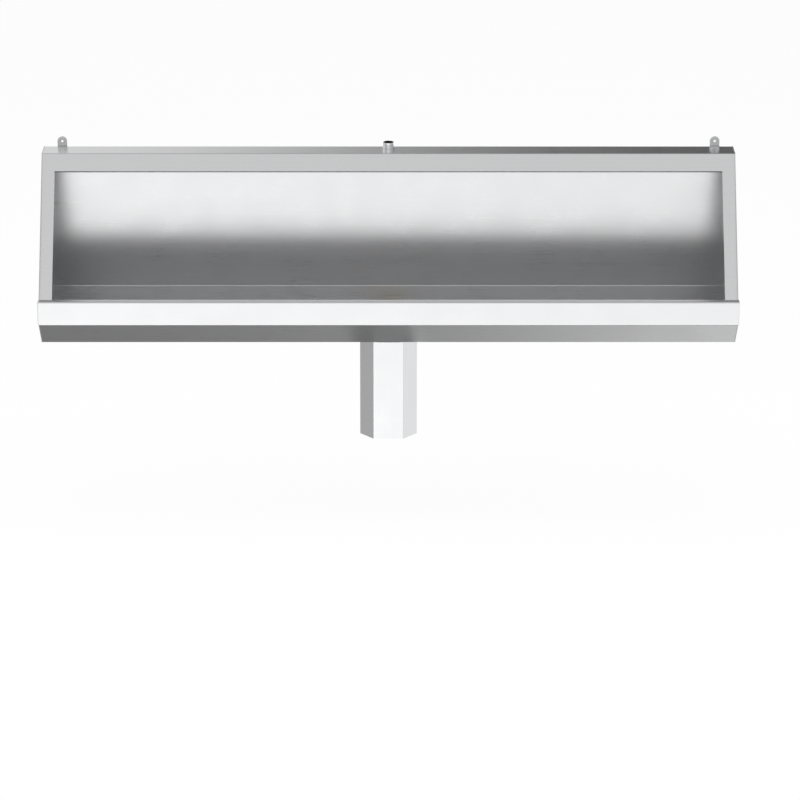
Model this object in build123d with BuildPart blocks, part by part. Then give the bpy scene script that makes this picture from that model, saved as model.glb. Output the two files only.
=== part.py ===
from build123d import *
import os
from math import atan2, cos, hypot, sin, tan

# Wall-hung stainless steel trough urinal, in millimetres.
# X runs along the trough, Y towards the wall and Z up. The wall is the plane Y = 0, and the origin lies
# on it, midway between the two screw holes that the trough hangs on.
# In the side profiles, "out" is the distance from the wall and "up" is the height, both from the origin.

# Sheet and bar
shell_sheet = 1.5
rim_sheet = 2.0
strap_sheet = 3.0
cover_sheet = 1.2
clip_sheet = 1.5
runner_sheet = 1.5
hanger_sheet = 1.5
bend_inside = 1.5
rim_edge_round = 1.6

# Side profile of the trough
body_width = 1796.0
deck_depth = 73.0
frame_run = 207.0
frame_drop = 332.0
rim_ledge = 20.0
rim_face = 63.0
keel_run = 74.0
keel_drop = 69.0
floor_depth = 102.0
crease_drop = 381.0

# Opening in the inclined frame
side_border = 34.0
top_border = 48.0
opening_return = 10.0
deck_flange = 25.0
foot_tab = 20.0
rim_flange = 15.0

# Hanging straps
hole_from_end = 48.0
hole_diameter = 6.5
hole_above_deck = 13.0
strap_width = 25.0
strap_above_crease = 9.0

# Flush water
inlet_diameter = 28.0
inlet_wall = 1.2
inlet_height = 16.0
inlet_from_back = 18.0
sparge_diameter = 22.0
sparge_wall = 1.0
sparge_below_deck = 42.0
sparge_from_end = 48.0
socket_gap = 0.3
tee_wall = 2.7
arm_wall = 2.3
tee_length = 76.0
tee_arm = 30.0
socket_depth = 15.0
pipe_stop = 2.0
arm_stop = 2.4
spray_hole = 3.0
spray_pitch = 100.0
spray_angle = 35.0
plug_head = 5.0
plug_depth = 12.0
clip_width = 15.0
clip_foot = 26.0
clip_end_rise = 6.0
clip_from_tee = 222.0
clip_from_plug = 190.0

# Waste outlet
waste_bore = 40.0
waste_thread = 47.8
thread_gap = 0.3
waste_hole = 50.0
waste_flange_diameter = 76.0
waste_flange_height = 5.0
waste_flange_edge = 1.6
waste_tail = 50.0
strainer_recess = 2.5
strainer_diameter = 55.0
strainer_sheet = 1.5
strainer_gap = 0.3
strainer_hole = 4.5
inner_ring_holes = 6
inner_ring_radius = 8.5
outer_ring_holes = 12
outer_ring_radius = 16.5
top_gasket_width = 11.0
top_gasket_height = 2.0
bottom_gasket_width = 10.0
bottom_gasket_height = 3.0
backnut_flats = 64.0
backnut_height = 9.0

# Bottle trap
trap_tube = 40.0
trap_wall = 2.5
trap_collar = 3.0
trap_washer = 3.0
trap_nut_wall = 6.0
trap_nut_grip = 18.0
trap_nut_lip = 3.2
trap_rib = 3.0
trap_ribs = 12
trap_neck = 20.0
bottle_diameter = 72.0
bottle_wall = 3.0
bottle_height = 66.0
bottle_shoulder = 8.0
skirt_step = 3.0
skirt_length = 14.0
dip_below_head = 48.0
outlet_drop = 32.0
outlet_stub = 22.0
outlet_socket = 14.0
outlet_into_wall = 40.0
depth_mark = 1.0
depth_mark_cut = 0.5
outlet_washer = 4.0
cup_gap = 0.3
cup_seal_height = 2.5
cup_height = 74.0
cup_grip_height = 16.0
cup_grip_wall = 3.0
cup_bottom_radius = 12.0
rosette_diameter = 72.0
rosette_depth = 8.0
rosette_wall = 1.2

# Trap cover
cover_width = 148.0
cover_front = 79.0
cover_facet = 43.0
cover_height = 265.0
cover_gap = 0.5
cover_bend_inside = 3.0
cover_wall_gap = 1.0
cover_lip = 12.0
hanger_length = 136.0
hanger_leg = 12.0
hanger_drop = 15.0
hanger_below_floor = 2.5
runner_gap = 0.3
runner_length = 145.0
runner_foot = 15.0
runner_lip = 12.0
runner_side_gap = 3.0
runner_from_facet = 1.0

# Levels and distances that follow from the sizes above
bend_outside = bend_inside + shell_sheet
back = strap_sheet
deck_top = -hole_above_deck
deck_front = back + deck_depth
frame_foot = deck_front + frame_run
rim_front = frame_foot + rim_ledge
ledge_top = deck_top - frame_drop
rim_bottom = ledge_top - rim_face
trough_bottom = rim_bottom - keel_drop
keel_front = rim_front - keel_run
floor_back = keel_front - floor_depth
floor_top = trough_bottom + shell_sheet
crease = deck_top - crease_drop
inner_width = body_width - 2 * shell_sheet
rim_width = body_width + 2 * rim_sheet
frame_slope = hypot(frame_run, frame_drop)
shell_front = rim_front - rim_sheet
shell_rise = ledge_top - rim_sheet - bend_inside
keel_angle = atan2(rim_bottom - trough_bottom, shell_front - keel_front)
hole_spacing = body_width - 2 * hole_from_end
sparge_reach = body_width / 2 - sparge_from_end


def side_plane(x):
    """Plane across the trough at x, with the distance from the wall to the right and the height up."""
    return Plane(origin=(x, 0, 0), x_dir=(0, -1, 0), z_dir=(-1, 0, 0))


def axis_plane(out):
    """Upright plane through a vertical axis on the middle of the trough, at a distance from the wall."""
    return Plane(origin=(0, -out, 0), x_dir=(1, 0, 0), z_dir=(0, -1, 0))


def finish(piece, name):
    """Label a finished piece and write it."""
    piece.part.label = name
    export_step(piece.part, f"parts/{name}.step")


os.makedirs("parts", exist_ok=True)

# Basin shell: one folded sheet from the top of the back panel to the inside of the rim
with BuildPart() as basin_shell:
    with BuildSketch(side_plane(inner_width / 2)):
        with BuildLine():
            FilletPolyline(
                (back, deck_top - bend_outside),
                (back, crease),
                (floor_back, trough_bottom),
                (keel_front, trough_bottom),
                (shell_front, rim_bottom),
                (shell_front, shell_rise),
                radius=bend_outside,
            )
            offset(amount=shell_sheet, side=Side.LEFT)
        make_face()
    extrude(amount=inner_width)
    waste_out = (keel_front + floor_back) / 2
    with Locations((0, -waste_out, floor_top)):
        Cylinder(waste_hole / 2, 4 * shell_sheet, mode=Mode.SUBTRACT)
finish(basin_shell, "basin_shell")

# Front frame: deck, inclined frame and foot tabs folded from one sheet, with the opening cut out
frame_plane = Plane(
    origin=(0, -deck_front, deck_top), x_dir=(1, 0, 0), z_dir=(0, -frame_drop, frame_run)
)
opening_width = body_width - 2 * side_border
opening_length = frame_slope - top_border
cut_depth = foot_tab + opening_return
inlet_out = back + inlet_from_back
spigot_lower = sparge_diameter
with BuildPart() as front_frame:
    with BuildSketch(side_plane(inner_width / 2)):
        with BuildLine():
            FilletPolyline(
                (back + shell_sheet, deck_top - deck_flange),
                (back + shell_sheet, deck_top),
                (deck_front, deck_top),
                (frame_foot, ledge_top),
                (frame_foot, ledge_top - foot_tab),
                radius=bend_outside,
            )
            offset(amount=shell_sheet, side=Side.RIGHT)
        make_face()
    extrude(amount=inner_width)
    with BuildSketch(frame_plane.offset(-cut_depth)):
        with Locations((0, -top_border)):
            Rectangle(opening_width, opening_length + 2 * foot_tab, align=(Align.CENTER, Align.MAX))
    extrude(amount=2 * cut_depth, mode=Mode.SUBTRACT)
    # Edges of the opening folded inwards
    with BuildSketch(frame_plane.offset(-opening_return)):
        with Locations((0, -top_border)):
            Rectangle(opening_width + 2 * shell_sheet, shell_sheet, align=(Align.CENTER, Align.MIN))
        for side in (-1, 1):
            with Locations((side * (opening_width + shell_sheet) / 2, -top_border)):
                Rectangle(shell_sheet, opening_length - bend_outside, align=(Align.CENTER, Align.MAX))
    extrude(amount=opening_return - shell_sheet / 2)
    with Locations((0, -inlet_out, deck_top)):
        Cylinder(spigot_lower / 2 + socket_gap, 4 * shell_sheet, mode=Mode.SUBTRACT)
finish(front_frame, "front_frame")

# End panels: flat sheets with the outline of the folded sheets, under the ends of the rim
for name, x_outer in (("end_panel_left", -body_width / 2 + shell_sheet), ("end_panel_right", body_width / 2)):
    with BuildPart() as end_panel:
        with BuildSketch(side_plane(x_outer)):
            with BuildLine():
                Polyline(
                    (frame_foot, ledge_top),
                    (frame_foot, shell_rise),
                    (shell_front, shell_rise),
                    (shell_front, rim_bottom),
                )
                FilletPolyline(
                    (shell_front, rim_bottom),
                    (keel_front, trough_bottom),
                    (floor_back, trough_bottom),
                    (back, crease),
                    (back, deck_top),
                    (deck_front, deck_top),
                    (frame_foot, ledge_top),
                    radius=bend_outside,
                )
            make_face()
        extrude(amount=shell_sheet)
    finish(end_panel, name)

# Front rim: apron face, ledge, inner leg and a seal flange that lies on the front slope of the basin
flange_lift = shell_sheet + rim_sheet
rim_bend = bend_inside + rim_sheet
leg_foot = trough_bottom + (frame_foot - keel_front) * tan(keel_angle) + flange_lift / cos(keel_angle)
with BuildPart() as front_rim:
    with BuildSketch(side_plane(inner_width / 2)):
        with BuildLine():
            FilletPolyline(
                (frame_foot - rim_flange * cos(keel_angle), leg_foot - rim_flange * sin(keel_angle)),
                (frame_foot, leg_foot),
                (frame_foot, ledge_top),
                (rim_front, ledge_top),
                (rim_front, rim_bottom),
                radius=(bend_inside, rim_bend, rim_bend),
            )
            offset(amount=rim_sheet, side=Side.RIGHT)
        make_face()
    extrude(amount=inner_width)
    # Face and ledge run on over the edges of the end panels
    with BuildSketch(side_plane(rim_width / 2)):
        with BuildLine():
            FilletPolyline(
                (rim_front, rim_bottom),
                (rim_front, ledge_top),
                (frame_foot, ledge_top),
                radius=rim_bend,
            )
            offset(amount=rim_sheet, side=Side.LEFT)
        make_face()
    extrude(amount=rim_width)
    # End returns lie on the outside of the end panels
    with BuildSketch(side_plane(rim_width / 2)):
        with BuildLine():
            Polyline(
                (rim_front, rim_bottom),
                (frame_foot, rim_bottom),
                (frame_foot, ledge_top),
            )
            FilletPolyline(
                (frame_foot, ledge_top),
                (rim_front, ledge_top),
                (rim_front, rim_bottom),
                radius=rim_bend,
            )
        make_face()
    extrude(amount=rim_sheet)
    mirror(about=Plane.YZ)
    # Lower edge and end corners ground round
    lower_edges = front_rim.edges().filter_by(Axis.X).group_by(Axis.Y)[0].group_by(Axis.Z)[0]
    upright_edges = front_rim.edges().filter_by(Axis.Z).group_by(Axis.Y)[0].sort_by(Axis.X)
    fillet(lower_edges + [upright_edges[0], upright_edges[-1]], rim_edge_round)
finish(front_rim, "front_rim")

# Hanging straps: flat bars behind the trough, with a round top and a screw hole
strap_foot = crease + strap_above_crease
with BuildPart() as hanging_straps:
    with BuildSketch(Plane.XZ):
        for side in (-1, 1):
            with Locations((side * hole_spacing / 2, 0)):
                Circle(strap_width / 2)
            with Locations((side * hole_spacing / 2, 0)):
                Rectangle(strap_width, -strap_foot, align=(Align.CENTER, Align.MAX))
            with Locations((side * hole_spacing / 2, 0)):
                Circle(hole_diameter / 2, mode=Mode.SUBTRACT)
    extrude(amount=strap_sheet)
finish(hanging_straps, "hanging_straps")

# Inlet spigot: full size above the deck, reduced below it to enter the tee
sparge_level = deck_top - sparge_below_deck
arm_top = sparge_level + tee_arm
spigot_foot = arm_top - socket_depth
inlet_axis = Axis((0, -inlet_out, 0), (0, 0, 1))
with BuildPart() as inlet_spigot:
    with BuildSketch(axis_plane(inlet_out)):
        with BuildLine():
            Polyline(
                (spigot_lower / 2 - inlet_wall, spigot_foot),
                (spigot_lower / 2, spigot_foot),
                (spigot_lower / 2, deck_top),
                (inlet_diameter / 2, deck_top),
                (inlet_diameter / 2, deck_top + inlet_height),
                (inlet_diameter / 2 - inlet_wall, deck_top + inlet_height),
                (inlet_diameter / 2 - inlet_wall, deck_top + 2 * inlet_wall),
                (spigot_lower / 2 - inlet_wall, deck_top + inlet_wall),
                close=True,
            )
        make_face()
    revolve(axis=inlet_axis)
finish(inlet_spigot, "inlet_spigot")

# Sparge tee: a block of two crossing tubes with a stop inside each socket
tee_bore = sparge_diameter / 2 + socket_gap
pipe_stop_bore = sparge_diameter / 2 - pipe_stop
arm_stop_bore = sparge_diameter / 2 - arm_stop
with BuildPart() as sparge_tee:
    with BuildSketch(Plane.YZ.offset(-tee_length / 2)):
        with Locations((-inlet_out, sparge_level)):
            Circle(tee_bore + tee_wall)
    extrude(amount=tee_length)
    with BuildSketch(Plane.XY.offset(sparge_level)):
        with Locations((0, -inlet_out)):
            Circle(tee_bore + arm_wall)
    extrude(amount=tee_arm)
    with BuildSketch(Plane.YZ.offset(-tee_length / 2)):
        with Locations((-inlet_out, sparge_level)):
            Circle(pipe_stop_bore)
    extrude(amount=tee_length, mode=Mode.SUBTRACT)
    with BuildSketch(Plane.XY.offset(sparge_level)):
        with Locations((0, -inlet_out)):
            Circle(arm_stop_bore)
    extrude(amount=tee_arm, mode=Mode.SUBTRACT)
    for face_x, step in ((-tee_length / 2, socket_depth), (tee_length / 2, -socket_depth)):
        with BuildSketch(Plane.YZ.offset(face_x)):
            with Locations((-inlet_out, sparge_level)):
                Circle(tee_bore)
        extrude(amount=step, mode=Mode.SUBTRACT)
    with BuildSketch(Plane.XY.offset(arm_top)):
        with Locations((0, -inlet_out)):
            Circle(tee_bore)
    extrude(amount=-socket_depth, mode=Mode.SUBTRACT)
finish(sparge_tee, "sparge_tee")

# Sparge pipes: one each side of the tee, with a row of holes that wets the back panel
pipe_start = tee_length / 2 - socket_depth
spray_count = int((sparge_reach - tee_length / 2 - spray_pitch / 2) // spray_pitch)
for name, side in (("sparge_pipe_left", -1), ("sparge_pipe_right", 1)):
    with BuildPart() as sparge_pipe:
        with BuildSketch(Plane.YZ.offset(side * pipe_start)):
            with Locations((-inlet_out, sparge_level)):
                Circle(sparge_diameter / 2)
                Circle(sparge_diameter / 2 - sparge_wall, mode=Mode.SUBTRACT)
        extrude(amount=side * (sparge_reach - pipe_start))
        for number in range(spray_count):
            spray_x = side * (tee_length / 2 + spray_pitch * (number + 0.5))
            spray_origin = (spray_x, -inlet_out, sparge_level)
            spray_plane = Plane(origin=spray_origin, z_dir=(0, 1, 0)).rotated((-spray_angle, 0, 0))
            with BuildSketch(spray_plane):
                Circle(spray_hole / 2)
            extrude(amount=sparge_diameter, mode=Mode.SUBTRACT)
    finish(sparge_pipe, name)

# Sparge end plugs: a head against the pipe's end and a shank inside it
with BuildPart() as sparge_end_plugs:
    for side in (-1, 1):
        with BuildSketch(Plane.YZ.offset(side * sparge_reach)):
            with Locations((-inlet_out, sparge_level)):
                Circle(sparge_diameter / 2)
        extrude(amount=side * plug_head)
        with BuildSketch(Plane.YZ.offset(side * sparge_reach)):
            with Locations((-inlet_out, sparge_level)):
                Circle(sparge_diameter / 2 - sparge_wall - socket_gap)
        extrude(amount=-side * plug_depth)
finish(sparge_end_plugs, "sparge_end_plugs")

# Sparge clips: strips with a foot welded under the deck and a cradle round the pipe
deck_underside = deck_top - shell_sheet
cradle = sparge_diameter / 2 + socket_gap
clip_places = (tee_length / 2 + clip_from_tee, sparge_reach - clip_from_plug)
clip_x = [side * place for side in (-1, 1) for place in clip_places]
with BuildPart() as sparge_clips:
    for x in clip_x:
        with BuildSketch(side_plane(x + clip_width / 2)):
            with BuildLine():
                FilletPolyline(
                    (inlet_out + cradle + clip_foot, deck_underside),
                    (inlet_out + cradle, deck_underside),
                    (inlet_out + cradle, sparge_level),
                    radius=bend_inside + clip_sheet,
                )
                JernArc((inlet_out + cradle, sparge_level), (0, -1), cradle, -180)
                Line(
                    (inlet_out - cradle, sparge_level),
                    (inlet_out - cradle, sparge_level + clip_end_rise),
                )
                offset(amount=clip_sheet, side=Side.LEFT)
            make_face()
        extrude(amount=clip_width)
finish(sparge_clips, "sparge_clips")

# Waste flange: head with a recess for the strainer, and a threaded tail through the floor
waste_axis = Axis((0, -waste_out, 0), (0, 0, 1))
waste_plane = axis_plane(waste_out)
flange_under = floor_top + top_gasket_height
flange_top = flange_under + waste_flange_height
tail_end = flange_under - waste_tail
strainer_seat = flange_top - strainer_recess
seat_radius = strainer_diameter / 2 + strainer_gap
with BuildPart() as waste_flange:
    with BuildSketch(waste_plane):
        with BuildLine():
            Polyline(
                (waste_bore / 2, tail_end),
                (waste_thread / 2, tail_end),
                (waste_thread / 2, flange_under),
                (waste_flange_diameter / 2, flange_under),
                (waste_flange_diameter / 2, flange_under + waste_flange_edge),
                (seat_radius + waste_flange_edge, flange_top),
                (seat_radius, flange_top),
                (seat_radius, strainer_seat),
                (waste_bore / 2, strainer_seat),
                close=True,
            )
        make_face()
    revolve(axis=waste_axis)
finish(waste_flange, "waste_flange")

# Strainer: a loose pierced plate in the recess of the waste flange
strainer_foot = strainer_seat + strainer_gap
with BuildPart() as waste_strainer:
    with BuildSketch(Plane.XY.offset(strainer_foot)):
        with Locations((0, -waste_out)):
            Circle(strainer_diameter / 2)
            Circle(strainer_hole / 2, mode=Mode.SUBTRACT)
            with PolarLocations(inner_ring_radius, inner_ring_holes):
                Circle(strainer_hole / 2, mode=Mode.SUBTRACT)
            with PolarLocations(outer_ring_radius, outer_ring_holes):
                Circle(strainer_hole / 2, mode=Mode.SUBTRACT)
    extrude(amount=strainer_sheet)
finish(waste_strainer, "waste_strainer")

# Gaskets above and below the floor
gasket_bore = waste_thread / 2 + thread_gap
for name, level, width, height in (
    ("waste_top_gasket", floor_top, top_gasket_width, top_gasket_height),
    ("waste_bottom_gasket", trough_bottom - bottom_gasket_height, bottom_gasket_width, bottom_gasket_height),
):
    with BuildPart() as gasket:
        with BuildSketch(Plane.XY.offset(level)):
            with Locations((0, -waste_out)):
                Circle(gasket_bore + width)
                Circle(gasket_bore, mode=Mode.SUBTRACT)
        extrude(amount=height)
    finish(gasket, name)

# Waste backnut: clamps the flange to the floor
backnut_top = trough_bottom - bottom_gasket_height
with BuildPart() as waste_backnut:
    with BuildSketch(Plane.XY.offset(backnut_top - backnut_height)):
        with Locations((0, -waste_out)):
            RegularPolygon(backnut_flats / 2, 6, major_radius=False)
            Circle(gasket_bore, mode=Mode.SUBTRACT)
    extrude(amount=backnut_height)
finish(waste_backnut, "waste_backnut")

# Trap inlet washer: between the tail of the waste flange and the collar of the trap
collar_top = tail_end - trap_washer
collar_under = collar_top - trap_collar
with BuildPart() as trap_inlet_washer:
    with BuildSketch(Plane.XY.offset(collar_top)):
        with Locations((0, -waste_out)):
            Circle(waste_thread / 2)
            Circle(waste_bore / 2, mode=Mode.SUBTRACT)
    extrude(amount=trap_washer)
finish(trap_inlet_washer, "trap_inlet_washer")

# Trap inlet nut: ribbed, screws up the tail and holds the collar of the trap by its lip
nut_bore = waste_thread / 2 + thread_gap
nut_radius = nut_bore + trap_nut_wall
lip_bore = trap_tube / 2 + thread_gap
with BuildPart() as trap_inlet_nut:
    with BuildSketch(Plane.XY.offset(collar_under - trap_nut_lip)):
        with Locations((0, -waste_out)):
            Circle(nut_radius)
            with PolarLocations(nut_radius, trap_ribs):
                Circle(trap_rib / 2)
            Circle(lip_bore, mode=Mode.SUBTRACT)
    extrude(amount=trap_nut_lip)
    with BuildSketch(Plane.XY.offset(collar_under)):
        with Locations((0, -waste_out)):
            Circle(nut_radius)
            with PolarLocations(nut_radius, trap_ribs):
                Circle(trap_rib / 2)
            Circle(nut_bore, mode=Mode.SUBTRACT)
    extrude(amount=tail_end + trap_nut_grip - collar_under)
finish(trap_inlet_nut, "trap_inlet_nut")

# Trap body: inlet neck, bottle head with a dip tube inside and a socket towards the wall
head_top = collar_under - trap_neck
head_foot = head_top - bottle_height
skirt_foot = head_foot - skirt_length
outlet_level = head_top - outlet_drop
dip_foot = head_foot - dip_below_head
bottle_radius = bottle_diameter / 2
skirt_radius = bottle_radius - skirt_step
tube_inside = trap_tube / 2 - trap_wall
outlet_tip = waste_out - bottle_radius - outlet_stub
outlet_plane = Plane(origin=(0, 0, outlet_level), x_dir=(1, 0, 0), z_dir=(0, 1, 0))
socket_bore = trap_tube / 2 + socket_gap
with BuildPart() as trap_body:
    with BuildSketch(waste_plane):
        with BuildLine():
            Polyline(
                (0, collar_top),
                (waste_thread / 2, collar_top),
                (waste_thread / 2, collar_under),
                (trap_tube / 2, collar_under),
                (trap_tube / 2, head_top),
                (bottle_radius - bottle_shoulder, head_top),
                (bottle_radius, head_top - bottle_shoulder),
                (bottle_radius, head_foot),
                (skirt_radius, head_foot),
                (skirt_radius, skirt_foot),
                (0, skirt_foot),
                close=True,
            )
        make_face()
    revolve(axis=waste_axis)
    with BuildSketch(outlet_plane.offset(-waste_out)):
        Circle(waste_thread / 2)
    extrude(amount=waste_out - outlet_tip)
    with BuildSketch(waste_plane):
        with BuildLine():
            Polyline(
                (0, head_top - bottle_wall),
                (bottle_radius - bottle_shoulder, head_top - bottle_wall),
                (skirt_radius - bottle_wall, head_top - bottle_shoulder - bottle_wall),
                (skirt_radius - bottle_wall, skirt_foot),
                (0, skirt_foot),
                close=True,
            )
        make_face()
    revolve(axis=waste_axis, mode=Mode.SUBTRACT)
    with BuildSketch(outlet_plane.offset(-waste_out)):
        Circle(tube_inside)
    extrude(amount=waste_out - outlet_tip, mode=Mode.SUBTRACT)
    with BuildSketch(outlet_plane.offset(-outlet_tip)):
        Circle(socket_bore)
    extrude(amount=-outlet_socket, mode=Mode.SUBTRACT)
    with BuildSketch(Plane.XY.offset(dip_foot)):
        with Locations((0, -waste_out)):
            Circle(trap_tube / 2)
    extrude(amount=head_top - dip_foot)
    with BuildSketch(Plane.XY.offset(dip_foot)):
        with Locations((0, -waste_out)):
            Circle(tube_inside)
    extrude(amount=collar_top - dip_foot, mode=Mode.SUBTRACT)
finish(trap_body, "trap_body")

# Cup seal ring: flat ring between the head and the cup
seal_top = head_foot - cup_gap
seal_foot = seal_top - cup_seal_height
with BuildPart() as cup_seal_ring:
    with BuildSketch(Plane.XY.offset(seal_foot)):
        with Locations((0, -waste_out)):
            Circle(bottle_radius)
            Circle(skirt_radius + cup_gap, mode=Mode.SUBTRACT)
    extrude(amount=cup_seal_height)
finish(cup_seal_ring, "cup_seal_ring")

# Trap cup: round-bottomed cup with a ribbed grip, screwed on the skirt of the head
cup_top = seal_foot - cup_gap
cup_foot = cup_top - cup_height
cup_inside = skirt_radius + cup_gap
cup_radius = cup_inside + bottle_wall
grip_radius = cup_inside + bottle_wall + cup_grip_wall
with BuildPart() as trap_cup:
    with BuildSketch(waste_plane):
        with BuildLine():
            Polyline(
                (0, cup_foot + bottle_wall),
                (0, cup_foot),
                (cup_radius - cup_bottom_radius, cup_foot),
            )
            JernArc((cup_radius - cup_bottom_radius, cup_foot), (1, 0), cup_bottom_radius, 90)
            Polyline(
                (cup_radius, cup_foot + cup_bottom_radius),
                (cup_radius, cup_top - cup_grip_height - cup_grip_wall),
                (grip_radius, cup_top - cup_grip_height),
                (grip_radius, cup_top),
                (cup_inside, cup_top),
                (cup_inside, cup_foot + cup_bottom_radius),
            )
            JernArc(
                (cup_inside, cup_foot + cup_bottom_radius), (0, -1), cup_bottom_radius - bottle_wall, -90
            )
            Line((cup_radius - cup_bottom_radius, cup_foot + bottle_wall), (0, cup_foot + bottle_wall))
        make_face()
    revolve(axis=waste_axis)
    with BuildSketch(Plane.XY.offset(cup_top - cup_grip_height)):
        with Locations((0, -waste_out)):
            with PolarLocations(grip_radius, trap_ribs):
                Circle(trap_rib / 2)
            Circle(grip_radius - cup_grip_wall / 2, mode=Mode.SUBTRACT)
    extrude(amount=cup_grip_height)
finish(trap_cup, "trap_cup")

# Outlet washer: round the pipe, between the socket of the trap and the lip of the nut
nut_lip_start = outlet_tip - outlet_washer
with BuildPart() as trap_outlet_washer:
    with BuildSketch(outlet_plane.offset(-outlet_tip)):
        Circle(waste_thread / 2)
        Circle(socket_bore, mode=Mode.SUBTRACT)
    extrude(amount=outlet_washer)
finish(trap_outlet_washer, "trap_outlet_washer")

# Outlet pipe: from the socket of the trap into the wall, with a groove that marks its depth in the wall
pipe_end = outlet_tip + outlet_socket
with BuildPart() as outlet_pipe:
    with BuildSketch(outlet_plane.offset(-pipe_end)):
        Circle(trap_tube / 2)
        Circle(trap_tube / 2 - trap_wall, mode=Mode.SUBTRACT)
    extrude(amount=pipe_end + outlet_into_wall)
    with BuildSketch(outlet_plane.offset(-depth_mark)):
        Circle(trap_tube / 2)
        Circle(trap_tube / 2 - depth_mark_cut, mode=Mode.SUBTRACT)
    extrude(amount=depth_mark, mode=Mode.SUBTRACT)
finish(outlet_pipe, "outlet_pipe")

# Outlet nut: ribbed, clamps the washer round the pipe
with BuildPart() as trap_outlet_nut:
    with BuildSketch(outlet_plane.offset(-nut_lip_start)):
        Circle(nut_radius)
        with PolarLocations(nut_radius, trap_ribs):
            Circle(trap_rib / 2)
        Circle(lip_bore, mode=Mode.SUBTRACT)
    extrude(amount=trap_nut_lip)
    with BuildSketch(outlet_plane.offset(-nut_lip_start)):
        Circle(nut_radius)
        with PolarLocations(nut_radius, trap_ribs):
            Circle(trap_rib / 2)
        Circle(nut_bore, mode=Mode.SUBTRACT)
    extrude(amount=-(outlet_washer + trap_nut_grip))
finish(trap_outlet_nut, "trap_outlet_nut")

# Wall rosette: thin dome round the pipe, flat on the wall
with BuildPart() as wall_rosette:
    with BuildSketch(Plane(origin=(0, 0, outlet_level), x_dir=(1, 0, 0), z_dir=(0, 0, 1))):
        with BuildLine():
            Polyline(
                (rosette_diameter / 2 - rosette_wall, 0),
                (rosette_diameter / 2, 0),
                (rosette_diameter / 2 - rosette_wall, -rosette_depth / 2),
                (lip_bore + rosette_depth, -rosette_depth),
                (lip_bore, -rosette_depth),
                (lip_bore, -rosette_depth + rosette_wall),
                (lip_bore + rosette_depth - rosette_wall, -rosette_depth + rosette_wall),
                close=True,
            )
        make_face()
    revolve(axis=Axis((0, 0, outlet_level), (0, 1, 0)))
finish(wall_rosette, "wall_rosette")

# Trap cover: folded sheet with a narrow front, two facets and straight sides, open to the wall
cover_top = trough_bottom - cover_gap
cover_foot = trough_bottom - cover_height
facet_back = keel_front - cover_facet
cover_outline = (
    (-cover_width / 2, -cover_wall_gap),
    (-cover_width / 2, -facet_back),
    (-cover_front / 2, -keel_front),
    (cover_front / 2, -keel_front),
    (cover_width / 2, -facet_back),
    (cover_width / 2, -cover_wall_gap),
)
cover_bend = cover_bend_inside + cover_sheet
with BuildPart() as trap_cover:
    with BuildSketch(Plane.XY.offset(cover_foot)):
        with BuildLine():
            FilletPolyline(*cover_outline, radius=cover_bend)
            offset(amount=cover_sheet, side=Side.LEFT)
        make_face()
    extrude(amount=cover_top - cover_foot)
    # Lip folded inwards along the bottom edge
    with BuildSketch(Plane.XY.offset(cover_foot)):
        with BuildLine():
            FilletPolyline(*cover_outline, radius=cover_bend)
            offset(amount=cover_lip, side=Side.LEFT)
        make_face()
    extrude(amount=cover_sheet)
finish(trap_cover, "trap_cover")

# Hangers inside the cover and the runners under the trough that they slide on
cover_inside = cover_width / 2 - cover_sheet
hanger_top = trough_bottom - hanger_below_floor
hanger_front = facet_back - cover_bend
lip_top = hanger_top - hanger_sheet - runner_gap
web_outside = cover_inside - hanger_leg - runner_side_gap
runner_front = facet_back - runner_from_facet
for side, word in ((-1, "left"), (1, "right")):
    with BuildPart() as cover_hanger:
        with BuildSketch(Plane.XZ.offset(hanger_front - hanger_length)):
            with BuildLine():
                FilletPolyline(
                    (side * (cover_inside - hanger_leg), hanger_top),
                    (side * cover_inside, hanger_top),
                    (side * cover_inside, hanger_top - hanger_drop),
                    radius=bend_inside + hanger_sheet,
                )
                offset(amount=hanger_sheet, side=Side.RIGHT if side > 0 else Side.LEFT)
            make_face()
        extrude(amount=hanger_length)
    finish(cover_hanger, f"cover_hanger_{word}")
    with BuildPart() as cover_runner:
        with BuildSketch(Plane.XZ.offset(runner_front - runner_length)):
            with BuildLine():
                Polyline(
                    (side * (web_outside - runner_foot), trough_bottom),
                    (side * web_outside, trough_bottom),
                    (side * web_outside, lip_top),
                    (side * (web_outside + runner_lip), lip_top),
                    (side * (web_outside + runner_lip), lip_top - runner_sheet),
                    (side * (web_outside - runner_sheet), lip_top - runner_sheet),
                    (side * (web_outside - runner_sheet), trough_bottom - runner_sheet),
                    (side * (web_outside - runner_foot), trough_bottom - runner_sheet),
                    close=True,
                )
            make_face()
        extrude(amount=runner_length)
    finish(cover_runner, f"cover_runner_{word}")
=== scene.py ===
"""Wall-hung stainless steel trough urinal, dressed with its finishes, welds and threads in a soft studio.

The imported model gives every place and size. Lengths are in metres: X along the trough, Y into the wall
and Z up, with the origin on the wall between the two hanging holes.
"""

from math import atan2, cos, hypot, pi, radians, sin

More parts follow.
